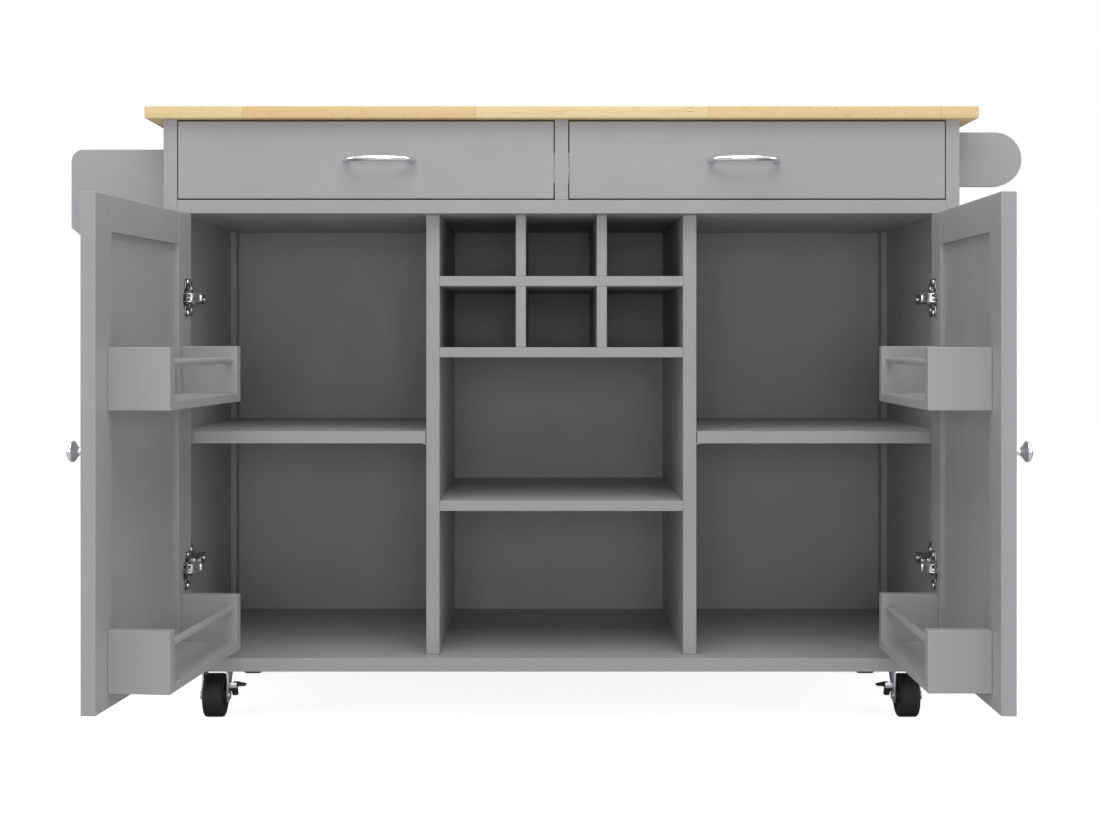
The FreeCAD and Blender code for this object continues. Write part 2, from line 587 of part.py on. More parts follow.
def arms(name, side):
    """A door's two hinge arms on the cart: plate, screws, and an arm with its nose in the link."""
    pieces = []
    outline = [(f"{side} * ({INNER} - {reach})", f"{FRONT} + {back}") for reach, back in NECK]

    def beside(label, near, far, front, back, half):
        small, large = across(side, f"{INNER} - {near}", f"{INNER} - {far}")
        return block(label, (small, f"{FRONT} + {front}", f"{level} - {half}"),
                     (large, f"{FRONT} + {back}", f"{level} + {half}"))

    def peg(label, dia, near, far, back, up):
        start = across(side, f"{INNER} - ({near})", f"{INNER} - ({far})")[0]
        return rod(label, dia, f"{near} - ({far})", (start, f"{FRONT} + {back}", f"{level} + {up}"), "X")

    for place in ("low", "high"):
        level = f"hinge_{place}"
        tag = f"{name}_{place}_arm"
        neck = prism(f"{tag}_neck", "XY", outline, f"{level} - arm_half", "2 * arm_half", soft=False)
        nose_at = (f"{side} * ({INNER} - nose_in)", f"{FRONT} + nose_back", f"{level} - arm_half")
        nose = rod(f"{tag}_nose", "nose_dia", "2 * arm_half", nose_at)
        bar = beside(f"{tag}_bar", "bar_in", "bar_out", "bar_front", "bar_rear", "bar_half")
        pieces.append(fuse(f"{tag}_whole", [neck, nose, bar]))
        rise = beside(f"{tag}_rise", "bar_out", "0", "rise_front", "rise_rear", "rise_half")
        wings = beside(f"{tag}_wings", "wing_thick", "0", "wing_back - wing_wide / 2",
                       "wing_back + wing_wide / 2", "(wing_tall - wing_wide) / 2")
        tips = [peg(f"{tag}_tip_{way}", "wing_wide", "wing_thick", "0", "wing_back",
                    f"{way} * (wing_tall - wing_wide) / 2") for way in (-1, 1)]
        pieces.append(fuse(f"{tag}_plate", [rise, wings] + tips))
        for way in (-1, 1):
            pieces.append(peg(f"{tag}_screw_{way}", "plate_screw_dia",
                              "wing_thick + plate_screw_head", "wing_thick",
                              "wing_back", f"{way} * plate_screw"))
        for end in ("front", "rear"):
            pieces.append(peg(f"{tag}_set_screw_{end}", "set_dia", "bar_in + set_head", "bar_in",
                              f"set_{end}", "0"))
    return pieces


# Racks inside the doors
def door_racks(name, side):
    """Two racks on a door's inner face: end boards and a shelf, with a dowel across the front."""
    boards, dowels = [], []
    near, far = f"{DOOR_START} + rack_hinge_side", f"{DOOR_END} - rack_free_side"
    in_near, in_far = f"{near} + rack_board", f"{far} - rack_board"
    reach = f"{DOOR_BACK} + rack_deep"
    first = across(-side, f"{in_near} - dowel_sink", f"{in_far} + dowel_sink")[0]
    long = f"({in_far}) - ({in_near}) + 2 * dowel_sink"
    for place in ("low", "high"):
        level = f"rack_{place}"
        tag = f"{name}_{place}"
        start = (first, f"{reach} - dowel_back", f"{level} + rack_tall - dowel_drop")
        for board, low_x, high_x in (("hinge_end", near, in_near), ("free_end", in_far, far)):
            end = door_slab(f"{tag}_{board}_board", side, (low_x, DOOR_BACK, level),
                            (high_x, reach, f"{level} + rack_tall"))
            hole = rod(f"{tag}_{board}_socket", "dowel_dia", long, start, "X")
            boards.append(cut(f"{tag}_{board}", end, hole))
        boards.append(door_slab(f"{tag}_rack_shelf", side, (in_near, DOOR_BACK, level),
                                (in_far, reach, f"{level} + rack_shelf")))
        dowels.append(rod(f"{tag}_dowel", "dowel_dia", long, start, "X"))
    hang(group(f"door_rack_{name}", boards), name, side)
    hang(group(f"door_rack_rails_{name}", dowels), name, side)


hinge_arms = []
for name, side in SIDES.items():
    door(name, side)
    knob(name, side)
    cups(name, side)
    links(name, side)
    hinge_arms += arms(name, side)
    door_racks(name, side)
keep(group("hinge_arms", hinge_arms))


# Space between the two boards of each end rack
RACK_START = f"{FRONT} + end_setback + end_board"
RACK_END = "body_depth / 2 - end_setback_rear - end_board"


def spice_rack():
    """Two shaped boards on the left end with a shelf between them and a rail across the outer
    side."""
    wall, out = "-body_width / 2", "-body_width / 2 - spice_out"
    corners = [(wall, "spice_low"), (wall, "spice_top"), (f"{out} + spice_corner", "spice_top"),
               (out, "spice_top - spice_corner"), (out, "spice_low + spice_cut_up"),
               (f"{out} + spice_cut_in", "spice_low")]
    pieces = []
    for tag, rear in (("front", RACK_START), ("rear", f"{RACK_END} + end_board")):
        pieces.append(prism(f"spice_{tag}_end", "XZ", corners, rear, "end_board", {2: "spice_corner"}))
    pieces.append(slab("spice_shelf", (f"{out} + spice_shelf_in", RACK_START, "spice_shelf_low"),
                       (wall, RACK_END, "spice_shelf_low + end_board")))
    keep(group("spice_rack_boards", pieces))
    keep(slab("spice_rack_rail", (out, RACK_START, "spice_rail_low"),
              (f"{out} + spice_rail_thick", RACK_END, "spice_rail_low + spice_rail_high")))


def towel_rail():
    """Two boards on the right end with half-round noses and a rod let into both."""
    wall, tall = "body_width / 2", "(towel_high - towel_low)"
    middle_x, middle_z = f"{wall} + towel_out - {tall} / 2", "(towel_high + towel_low) / 2"
    first = f"{RACK_START} - towel_sink"
    long = f"{RACK_END} - ({RACK_START}) + 2 * towel_sink"
    pieces = []
    for tag, start in (("front", f"{FRONT} + end_setback"), ("rear", RACK_END)):
        body = block(f"towel_{tag}_body", (wall, start, "towel_low"),
                     (middle_x, f"{start} + end_board", "towel_high"))
        nose = rod(f"towel_{tag}_nose", tall, "end_board", (middle_x, start, middle_z), "Y")
        socket = rod(f"towel_{tag}_socket", "towel_dia", long, (middle_x, first, middle_z), "Y")
        pieces.append(cut(f"towel_{tag}_end", fuse(f"towel_{tag}_whole", [body, nose]), socket))
    keep(group("towel_rack_ends", pieces))
    keep(rod("towel_rod", "towel_dia", long, (middle_x, first, middle_z), "Y"))


spice_rack()
towel_rail()


# Casters, modelled about their own swivel line
CORNERS = {"front_left": (-1, -1), "front_right": (1, -1), "rear_left": (-1, 1), "rear_right": (1, 1)}


def stand(piece, side, end):
    """Moves a caster's piece from the origin to its corner."""
    bind(piece, Placement__Base__x=f"{side} * caster_side",
         Placement__Base__y=f"{end} * (body_depth / 2 - swivel_inset)")
    return piece


def swivelled(label, pieces, side, end):
    """Keeps a swivelling piece of a caster at its corner."""
    keep(stand(group(label, pieces), side, end))


def fork(name, side, end):
    """A fork: a crown, two tapered legs and the axle bolt, braked ones slotted for the pad."""
    axle_y, axle_z = f"{end} * trail", "wheel_dia / 2"
    top_y, top_z = f"{end} * leg_shift", "crown_low + crown_thick"
    half, leg_out = "leg_deep / 2", "leg_gap + leg_thick"
    outline = [(f"{top_y} - {half}", top_z), (f"{axle_y} - leg_waist", axle_z),
               (f"{axle_y} - leg_foot", f"{axle_z} - leg_drop"),
               (f"{axle_y} + leg_foot", f"{axle_z} - leg_drop"),
               (f"{axle_y} + leg_waist", axle_z), (f"{top_y} + {half}", top_z)]
    frame = [block(f"{name}_crown", (f"-({leg_out})", "-race_dia / 2", "crown_low"),
                   (leg_out, "race_dia / 2", top_z))]
    for way in (-1, 1):
        start = "leg_gap" if way > 0 else f"-({leg_out})"
        frame.append(prism(f"{name}_leg_{way}", "YZ", outline, start, "leg_thick", soft=False))
    tools = [rod(f"{name}_kingpin_hole", "kingpin_dia + 2 * kingpin_play", "2 * crown_thick",
                 ("0", "0", "crown_low - crown_thick / 2")),
             rod(f"{name}_axle_hole", "axle_dia", f"2 * ({leg_out}) + 2 * leg_thick",
                 (f"-({leg_out}) - leg_thick", axle_y, axle_z), "X")]
    if end < 0:
        small, large = across(-side, "leg_gap - 1", f"{leg_out} + 1")
        tools.append(block(f"{name}_slot", (small, "lever_back - lever_wide - lever_pin / 2", "slot_low"),
                           (large, "lever_back + lever_wide / 2", "slot_high")))
    body = cut(f"{name}_fork_body", fuse(f"{name}_frame", frame), group(f"{name}_fork_cuts", tools))
    if end < 0:
        small, large = across(-side, "leg_gap + leg_thick / 2", "lever_pivot + lever_pin")
        lug = block(f"{name}_lug", (small, "lever_back - lever_wide - lever_pin", "lever_level - lug_half"),
                    (large, "lever_back - lever_wide - lug_gap", "lever_level + lug_half"))
        pin = rod(f"{name}_lever_pin", "lever_pin", "lever_wide + lever_pin",
                  (f"{-side} * lever_pivot", "lever_back - lever_wide - lever_pin + lug_gap",
                   "lever_level"), "Y")
        body = fuse(f"{name}_fork_braked", [body, lug, pin])
    axle = [rod(f"{name}_shank", "axle_dia", f"2 * ({leg_out})", (f"-({leg_out})", axle_y, axle_z), "X"),
            rod(f"{name}_bolt_head", "nut_dia", "nut_thick", (leg_out, axle_y, axle_z), "X"),
            rod(f"{name}_nut", "nut_dia", "nut_thick", (f"-({leg_out}) - nut_thick", axle_y, axle_z), "X")]
    swivelled(f"caster_fork_{name}", [body, fuse(f"{name}_axle", axle)], side, end)


def wheel(name, side, end):
    """A wheel turned about X: rounded tread, recessed flanks and a hub on the axle."""
    tread, half, hub, bore = "wheel_dia / 2", "wheel_wide / 2", "hub_dia / 2", "axle_dia / 2 + axle_play"
    right = [("hub_half", bore), ("hub_half", hub), (f"{half} - flank_deep", hub),
             (f"{half} - flank_deep", f"{tread} - flank_in"), (half, f"{tread} - flank_out"),
             (half, f"{tread} - wheel_round"), (f"{half} - wheel_round", tread)]
    left = [(f"-({x})", z) for x, z in reversed(right)]
    body = turned(f"{name}_wheel_turned", right + left, 0,
                  {5: "wheel_round", 7: "wheel_round"}, axis="H_Axis")
    bind(body, Placement__Base__y=f"{end} * trail", Placement__Base__z="wheel_dia / 2")
    swivelled(f"caster_wheel_{name}", [body], side, end)


def plates():
    """The top plates, each with its fixed race and the kingpin that carries the fork."""
    pieces = []
    for name, (side, end) in CORNERS.items():
        plate = block(f"{name}_plate", ("-plate_half_x", "-plate_half_y", "caster_height - plate_thick"),
                      ("plate_half_x", "plate_half_y", "caster_height"))
        race = rod(f"{name}_race", "race_dia", "caster_height - race_low", ("0", "0", "race_low"))
        foot = ("0", "0", "crown_low - rivet_head")
        kingpin = rod(f"{name}_kingpin", "kingpin_dia", "caster_height - crown_low + rivet_head", foot)
        head = rod(f"{name}_kingpin_head", "kingpin_dia + 5", "rivet_head - kingpin_play", foot)
        pieces.append(stand(fuse(f"{name}_head", [plate, race, kingpin, head]), side, end))
    keep(group("caster_plates", pieces))


def screws():
    """Four pan-head screws under each plate."""
    pieces = []
    level = "caster_height - plate_thick - screw_head"
    for name, (side, end) in CORNERS.items():
        heads = [rod(f"{name}_screw_{x}_{y}", "screw_dia", "screw_head",
                     (f"{x} * screw_x", f"{y} * screw_y", level)) for x in (-1, 1) for y in (-1, 1)]
        pieces.append(stand(group(f"{name}_screws", heads), side, end))
    keep(group("caster_screws", pieces))


# A brake lever's outline from the front: its pad, the skirt beside the leg and the pedal
LEVER = [("pad_in", "pad_low"), ("web_out", "pad_low"), ("skirt_in", "skirt_low"), ("skirt_out", "skirt_low"),
         ("pedal_root", "lever_low"), ("pedal_out", "pedal_low"), ("pedal_out", "pedal_high"),
         ("pedal_root", "lever_high"), ("skirt_in", "lever_high"), ("web_out", "pad_high"),
         ("pad_in", "pad_high")]


def brake(name, side, end):
    """A front caster's brake lever on the cart's inner side, whose pad swings in towards the
    wheel's rim."""
    corners = [(f"{-side} * {x}", z) for x, z in LEVER]
    lever = prism(f"{name}_lever", "XZ", corners, "lever_back", "lever_wide", soft=False)
    hole = rod(f"{name}_lever_hole", "lever_pin + 2 * rivet_play", "2 * lever_wide",
               (f"{-side} * lever_pivot", "lever_back - 1.5 * lever_wide", "lever_level"), "Y")
    swivelled(f"caster_brake_{name}", [cut(f"{name}_lever_bored", lever, hole)], side, end)


for name, (side, end) in CORNERS.items():
    fork(name, side, end)
    wheel(name, side, end)
    if end < 0:
        brake(name, side, end)
plates()
screws()

doc.recompute()

# Every object must be sound before anything is written
for thing in doc.Objects:
    if {"Invalid", "Error"} & set(thing.State):
        raise SystemExit(f"{thing.Name} failed: {thing.State}")
for node in NODES:
    if node.Shape.isNull() or not node.Shape.isValid():
        raise SystemExit(f"{node.Label} has no sound shape")

os.makedirs("parts", exist_ok=True)
for node in NODES:
    node.Shape.exportStep(f"parts/{node.Label}.step")
    box = node.Shape.BoundBox
    print(f"{node.Label}: {len(node.Shape.Solids)} solids, {node.Shape.Volume / 1000:.1f} cm3,"
          f" X {box.XMin:.1f}..{box.XMax:.1f}, Y {box.YMin:.1f}..{box.YMax:.1f},"
          f" Z {box.ZMin:.1f}..{box.ZMax:.1f}")
print(len(NODES), "sub-parts")
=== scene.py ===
# %% [markdown]
# # A kitchen island on casters
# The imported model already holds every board, hinge, drawer and caster at its real size. This
# lesson dresses it: each finish is built from shader nodes, and the pieces whose looks need more
# than a plain solid, such as the worktop, the pulls, the knobs, the hinges and the wheels, are
# modelled again over the solids that they stand for.
#
# Metres everywhere. The island stands on the floor at z = 0, its front faces -Y and +X is right.

# %% Load the frame
import bpy
import json
from math import cos, pi, radians, sin
from mathutils import Matrix, Vector

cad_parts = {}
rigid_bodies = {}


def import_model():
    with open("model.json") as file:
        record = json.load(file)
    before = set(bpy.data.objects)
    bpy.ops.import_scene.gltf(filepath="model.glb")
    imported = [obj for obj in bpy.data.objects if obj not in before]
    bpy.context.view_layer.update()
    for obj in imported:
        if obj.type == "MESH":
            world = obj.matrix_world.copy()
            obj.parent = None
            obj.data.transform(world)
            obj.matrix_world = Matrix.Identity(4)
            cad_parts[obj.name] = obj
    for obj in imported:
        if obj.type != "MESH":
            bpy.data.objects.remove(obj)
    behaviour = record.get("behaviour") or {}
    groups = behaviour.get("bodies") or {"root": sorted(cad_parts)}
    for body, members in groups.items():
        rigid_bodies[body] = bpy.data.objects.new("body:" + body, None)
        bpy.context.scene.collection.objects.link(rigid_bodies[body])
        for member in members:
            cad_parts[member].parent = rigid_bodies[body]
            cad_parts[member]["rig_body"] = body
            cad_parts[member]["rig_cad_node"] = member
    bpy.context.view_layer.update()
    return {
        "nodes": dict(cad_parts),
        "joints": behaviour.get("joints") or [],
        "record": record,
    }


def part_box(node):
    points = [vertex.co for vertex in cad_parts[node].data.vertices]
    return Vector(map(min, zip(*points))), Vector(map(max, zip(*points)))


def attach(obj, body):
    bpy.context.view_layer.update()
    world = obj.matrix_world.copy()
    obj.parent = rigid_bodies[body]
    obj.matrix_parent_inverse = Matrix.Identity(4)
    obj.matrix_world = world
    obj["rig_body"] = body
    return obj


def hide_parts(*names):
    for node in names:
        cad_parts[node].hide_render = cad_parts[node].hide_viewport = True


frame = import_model()
nodes = frame["nodes"]
MM = 0.001
SIDES = ("left", "right")
FRONT_CORNERS = ("front_left", "front_right")
CORNERS = FRONT_CORNERS + ("rear_left", "rear_right")

# %% [markdown]
# ## Camera
# The photograph was taken straight on, with no tilt, so every upright stays upright. The lens axis
# doesn't pass through the middle of the picture: it sits higher and a little to the left. A shifted
# lens says that without tilting the camera, as an architect's lens does.

# %% Camera at the photograph's place
PHOTO_WIDTH, PHOTO_HEIGHT = 1100, 824
FOCAL_PIXELS = 1604.8
AXIS_PIXEL = (543.7, 339.0)
EYE = (-0.0262, -2.58, 0.5694)

bpy.ops.object.select_all(action="DESELECT")
bpy.ops.object.camera_add(location=EYE, rotation=(pi / 2, 0, 0))
camera = bpy.context.object
camera.name = "camera"
camera.data.sensor_width = 36
camera.data.lens = FOCAL_PIXELS / PHOTO_WIDTH * camera.data.sensor_width
camera.data.shift_x = (PHOTO_WIDTH / 2 - AXIS_PIXEL[0]) / PHOTO_WIDTH
camera.data.shift_y = (AXIS_PIXEL[1] - PHOTO_HEIGHT / 2) / PHOTO_WIDTH
bpy.context.scene.camera = camera
bpy.context.scene.view_settings.view_transform = "Standard"
print("lens", round(camera.data.lens, 2), "mm")

# %% [markdown]
# ## Studio light
# A catalogue picture is lit by a white room: a little soft light from everywhere, a pair of soft
# boxes at the sides, and more over and behind the camera that reach into the cupboards. The room is
# the world, which the camera and the shiny metal see as plain white, while its light on the boards
# is set on its own. The boxes stay out of the camera's sight, so only their light shows.

# %% World and lamps
ROOM_LIGHT = 0.15
SIDE_WATTS = 19
TOP_WATTS = 25
STEEP_WATTS = 31
HEAD_WATTS = 21

world = bpy.data.worlds.new("white_room")
bpy.context.scene.world = world
world.use_nodes = True
sky = world.node_tree
sky.nodes.clear()
rays = sky.nodes.new("ShaderNodeLightPath")
seen = sky.nodes.new("ShaderNodeMath")
seen.operation = "MAXIMUM"
seen_too = sky.nodes.new("ShaderNodeMath")
seen_too.operation = "MAXIMUM"
lit = sky.nodes.new("ShaderNodeBackground")
lit.inputs["Color"].default_value = (1, 1, 1, 1)
lit.inputs["Strength"].default_value = ROOM_LIGHT
shown = sky.nodes.new("ShaderNodeBackground")
shown.inputs["Color"].default_value = (1, 1, 1, 1)
choose = sky.nodes.new("ShaderNodeMixShader")
room = sky.nodes.new("ShaderNodeOutputWorld")
# Rays from the camera, mirrors and glass see plain white, and all others meet the room's light
sky.links.new(rays.outputs["Is Camera Ray"], seen.inputs[0])
sky.links.new(rays.outputs["Is Glossy Ray"], seen.inputs[1])
sky.links.new(seen.outputs[0], seen_too.inputs[0])
sky.links.new(rays.outputs["Is Transmission Ray"], seen_too.inputs[1])
sky.links.new(seen_too.outputs[0], choose.inputs["Fac"])
sky.links.new(lit.outputs[0], choose.inputs[1])
sky.links.new(shown.outputs[0], choose.inputs[2])
sky.links.new(choose.outputs[0], room.inputs["Surface"])

# Each soft box's place, the point it looks at, its width and height, and its watts
SOFTBOXES = {
    "side_softbox_left": ((-3.0, -1.6, 1.0), (0, 0, 0.45), (1.6, 1.8), SIDE_WATTS),
    "side_softbox_right": ((3.0, -1.6, 1.0), (0, 0, 0.45), (1.6, 1.8), SIDE_WATTS),
    "top_softbox": ((0, -1.9, 2.7), (0, 0, 0.5), (2.6, 1.2), TOP_WATTS),
    "steep_softbox": ((0, -0.9, 3.2), (0, 0, 0.5), (2.6, 1.2), STEEP_WATTS),
    "head_softbox": ((0, -4.0, 0.75), (0, 0, 0.5), (1.6, 1.0), HEAD_WATTS),
}


def softbox(name, place, target, size, watts):
    """A rectangular area lamp that looks at a target point."""
    bpy.ops.object.select_all(action="DESELECT")
    bpy.ops.object.light_add(type="AREA", location=place)
    lamp = bpy.context.object
    lamp.name = name
    lamp.rotation_euler = (Vector(target) - Vector(place)).to_track_quat("-Z", "Y").to_euler()
    lamp.data.shape = "RECTANGLE"
    lamp.data.size, lamp.data.size_y = size
    lamp.data.energy = watts
    lamp.visible_camera = False


for name, (place, target, size, watts) in SOFTBOXES.items():
    softbox(name, place, target, size, watts)
print(len(SOFTBOXES), "soft boxes")

# %% [markdown]
# ## Floor
# The white floor fades into the white room, and keeps the soft shadow under the cart. It is a
# plain diffuse white whose own glow only the camera sees, so that it lights nothing.

# %% Floor
FLOOR_HALF = 9
FLOOR_GLOW = 0.86
FLOOR_WHITE = (0.86, 0.86, 0.86, 1)

bpy.ops.object.select_all(action="DESELECT")
bpy.ops.mesh.primitive_plane_add(size=2 * FLOOR_HALF, location=(0, 0, 0))
floor = bpy.context.object
floor.name = "floor"
floor_finish = bpy.data.materials.new("floor_white")
floor_finish.use_nodes = True
floor_shader = floor_finish.node_tree.nodes["Principled BSDF"]
floor_shader.inputs["Base Color"].default_value = FLOOR_WHITE
floor_shader.inputs["Roughness"].default_value = 0.9
floor_shader.inputs["Specular IOR Level"].default_value = 0
floor_shader.inputs["Emission Color"].default_value = (1, 1, 1, 1)
floor_tree = floor_finish.node_tree
floor_rays = floor_tree.nodes.new("ShaderNodeLightPath")
floor_glow = floor_tree.nodes.new("ShaderNodeMath")
floor_glow.operation = "MULTIPLY"
floor_glow.inputs[1].default_value = FLOOR_GLOW
floor_tree.links.new(floor_rays.outputs["Is Camera Ray"], floor_glow.inputs[0])
floor_tree.links.new(floor_glow.outputs[0], floor_shader.inputs["Emission Strength"])
floor.data.materials.append(floor_finish)
print("floor", 2 * FLOOR_HALF, "m wide")

# %% [markdown]
# ## A bench for finishes
# Every finish here starts as one Principled shader. Small helpers do the wiring: they start a
# material, lay a noise pattern on the piece's own coordinates, carry a value over to a range or to
# colours, and turn it into relief. Patterns are in metres, so a scale of 1000 means about a
# millimetre.

# %% Helpers for finishes
def new_finish(name, color, roughness, metallic=0.0):
    """A material with one Principled shader, and its plain values set on the shader itself."""
    finish = bpy.data.materials.new(name)
    finish.use_nodes = True
    shader = finish.node_tree.nodes["Principled BSDF"]
    shader.inputs["Base Color"].default_value = (*color, 1)
    shader.inputs["Roughness"].default_value = roughness
    shader.inputs["Metallic"].default_value = metallic
    return finish, finish.node_tree, shader


def pattern_space(tree, stretch=(1, 1, 1)):
    """The piece's own coordinates, stretched along each axis."""
    coordinates = tree.nodes.new("ShaderNodeTexCoord")
    mapping = tree.nodes.new("ShaderNodeMapping")
    mapping.inputs["Scale"].default_value = stretch
    tree.links.new(coordinates.outputs["Object"], mapping.inputs["Vector"])
    return mapping.outputs["Vector"]


def noise(tree, space, scale, detail=2.0, rough=0.5):
    """A noise pattern's height, from 0 to 1."""
    texture = tree.nodes.new("ShaderNodeTexNoise")
    texture.inputs["Scale"].default_value = scale
    texture.inputs["Detail"].default_value = detail
    texture.inputs["Roughness"].default_value = rough
    tree.links.new(space, texture.inputs["Vector"])
    return texture.outputs["Fac"]


def span(tree, value, low, high, start=0.0, end=1.0):
    """A value from start to end carried over to a range from low to high."""
    node = tree.nodes.new("ShaderNodeMapRange")
    node.inputs["From Min"].default_value = start
    node.inputs["From Max"].default_value = end
    node.inputs["To Min"].default_value = low
    node.inputs["To Max"].default_value = high
    tree.links.new(value, node.inputs["Value"])
    return node.outputs["Result"]


def shades(tree, value, *stops):
    """A value turned into colour by stops of (place, colour)."""
    ramp = tree.nodes.new("ShaderNodeValToRGB")
    while len(ramp.color_ramp.elements) < len(stops):
        ramp.color_ramp.elements.new(0.5)
    for element, (place, color) in zip(ramp.color_ramp.elements, stops):
        element.position = place
        element.color = (*color, 1)
    tree.links.new(value, ramp.inputs["Fac"])
    return ramp.outputs["Color"]


def dent(tree, shader, heights):
    """Surface relief from (value, depth in metres) pairs, one bump after another."""
    before = None
    for value, depth in heights:
        bump = tree.nodes.new("ShaderNodeBump")
        bump.inputs["Distance"].default_value = depth
        tree.links.new(value, bump.inputs["Height"])
        if before:
            tree.links.new(before, bump.inputs["Normal"])
        before = bump.outputs["Normal"]
    tree.links.new(before, shader.inputs["Normal"])


# %% [markdown]
# ## Grey paint
# The cart is fibreboard sprayed with a satin grey lacquer. Sprayed lacquer is never quite flat: it
# has a fine orange peel, slow waves of the board under it, and a sheen that varies a little. The
# colour drifts by two or three percent as well, which keeps large boards from looking like plastic.

# %% Paint on the boards
WAVE_DEPTH = 0.2 * MM


def painted(name, color, drift, rough, peel):
    """Sprayed lacquer: colour drift, uneven sheen, and an orange peel of the given depth."""
    finish, tree, shader = new_finish(name, color, rough)
    space = pattern_space(tree)
    cloud = noise(tree, space, scale=5, detail=3)
    darker = tuple(level * (1 - drift) for level in color)
    lighter = tuple(level * (1 + drift) for level in color)
    tree.links.new(shades(tree, cloud, (0.3, darker), (0.7, lighter)), shader.inputs["Base Color"])
    patches = noise(tree, space, scale=30, detail=3)
    sheen = span(tree, patches, rough - 0.06, rough + 0.08, start=0.3, end=0.7)
    tree.links.new(sheen, shader.inputs["Roughness"])
    waves = noise(tree, space, scale=18, detail=1)
    grain = noise(tree, space, scale=700, detail=2)
    dent(tree, shader, [(waves, WAVE_DEPTH), (grain, peel)])
    return finish


grey_paint = painted("grey_lacquer", (0.4, 0.4, 0.413), drift=0.02, rough=0.46, peel=0.035 * MM)
back_paint = painted("grey_back_board", (0.39, 0.39, 0.402), drift=0.03, rough=0.6, peel=0.06 * MM)
drawer_paint = painted("grey_drawer_foil", (0.4, 0.4, 0.41), drift=0.03, rough=0.55, peel=0.05 * MM)

# %% [markdown]
# ## Oiled hardwood
# The worktop is glued up from narrow staves of a pale hardwood, finger-jointed end to end. Three
# things make it read as wood: each stave has its own tone, growth lines run the length of a stave,
# and short dark pores are scattered along them. A brick pattern lays out the staves. Its random
# brick colours set each stave's tone and also slide the grain, so that lines break at every joint.

# %% Staves, grain and pores
STAVE_WIDE = 0.042
STAVE_LONG = 0.34
ROW_OFFSET = 0.37
JOINT_WIDE = 0.35 * MM
GRAIN_JUMP = (3.1, 1.7, 2.3)

oak, oak_tree, oak_shader = new_finish("oiled_hardwood", (0.8, 0.6, 0.36), 0.42)
flat_space = pattern_space(oak_tree)
staves = oak_tree.nodes.new("ShaderNodeTexBrick")
staves.offset = ROW_OFFSET
staves.inputs["Scale"].default_value = 1
staves.inputs["Brick Width"].default_value = STAVE_LONG
staves.inputs["Row Height"].default_value = STAVE_WIDE
staves.inputs["Mortar Size"].default_value = JOINT_WIDE
staves.inputs["Mortar Smooth"].default_value = 0.4
staves.inputs["Color1"].default_value = (0, 0, 0, 1)
staves.inputs["Color2"].default_value = (1, 1, 1, 1)
staves.inputs["Mortar"].default_value = (0.5, 0.5, 0.5, 1)
oak_tree.links.new(flat_space, staves.inputs["Vector"])

# Each stave's random tone also moves the grain's pattern to a fresh place
shift = oak_tree.nodes.new("ShaderNodeVectorMath")
shift.operation = "MULTIPLY_ADD"
shift.inputs[1].default_value = GRAIN_JUMP
oak_tree.links.new(staves.outputs["Color"], shift.inputs[0])
oak_tree.links.new(flat_space, shift.inputs[2])


def along_grain(stretch):
    """The shifted grain space, drawn out along the stave."""
    mapping = oak_tree.nodes.new("ShaderNodeMapping")
    mapping.inputs["Scale"].default_value = stretch
    oak_tree.links.new(shift.outputs["Vector"], mapping.inputs["Vector"])
    return mapping.outputs["Vector"]


growth = noise(oak_tree, along_grain((1.2, 30, 30)), scale=6, detail=4, rough=0.6)
fibre = noise(oak_tree, along_grain((6, 260, 260)), scale=3, detail=3, rough=0.6)
pores = noise(oak_tree, along_grain((40, 700, 700)), scale=2.2, detail=1)
DARK_STAVE = (0.815, 0.59, 0.3)
MIDDLE_STAVE = (0.842, 0.657, 0.358)
PALE_STAVE = (0.87, 0.735, 0.425)
tone = shades(oak_tree, staves.outputs["Color"],
              (0.0, DARK_STAVE), (0.5, MIDDLE_STAVE), (1.0, PALE_STAVE))
lines = shades(oak_tree, growth,
               (0.3, (0.93, 0.86, 0.76)), (0.5, (1, 0.98, 0.95)), (0.7, (1, 1, 1)))
threads = shades(oak_tree, fibre, (0.35, (0.96, 0.93, 0.88)), (0.6, (1, 1, 1)))
specks = shades(oak_tree, pores, (0.26, (0.68, 0.5, 0.32)), (0.34, (1, 1, 1)))

# The places of a mix node's colour sockets among its sockets of every kind
COLOR_A, COLOR_B, COLOR_RESULT = 6, 7, 2


def darken(under, over):
    """One colour multiplied by another."""
    mix = oak_tree.nodes.new("ShaderNodeMix")
    mix.data_type = "RGBA"
    mix.blend_type = "MULTIPLY"
    mix.inputs["Factor"].default_value = 1
    oak_tree.links.new(under, mix.inputs[COLOR_A])
    oak_tree.links.new(over, mix.inputs[COLOR_B])
    return mix.outputs[COLOR_RESULT]


joint_line = shades(oak_tree, staves.outputs["Fac"], (0.0, (1, 1, 1)), (1.0, (0.72, 0.6, 0.46)))
wood = darken(darken(darken(darken(tone, lines), threads), specks), joint_line)
oak_tree.links.new(wood, oak_shader.inputs["Base Color"])
oak_sheen = span(oak_tree, fibre, 0.36, 0.52, start=0.3, end=0.7)
oak_tree.links.new(oak_sheen, oak_shader.inputs["Roughness"])
dent(oak_tree, oak_shader, [(growth, 0.15 * MM), (fibre, 0.06 * MM), (pores, 0.12 * MM)])
print(len(oak_tree.nodes), "nodes in the hardwood")

# %% [markdown]
# ## Metals
# Chrome on the pulls and knobs is a mirror with the faintest haze. The hinges are nickel-plated
# pressings; their cups and plates are given a darkened copy of the nickel, which is painted shade,
# so that the plain nickel of the links and the arms' necks stands out as a painted highlight. The
# casters and runners are zinc-plated sheet, duller, with the cloudy spangle of the plating. All are
# metallic shaders that differ in how rough they are and in what breaks up the reflection.

# %% Chrome, nickel and zinc
# How the relief is drawn out along each axis: not at all, or into strokes along Z
EVEN = (1, 1, 1)
BRUSHED = (1, 1, 0.1)


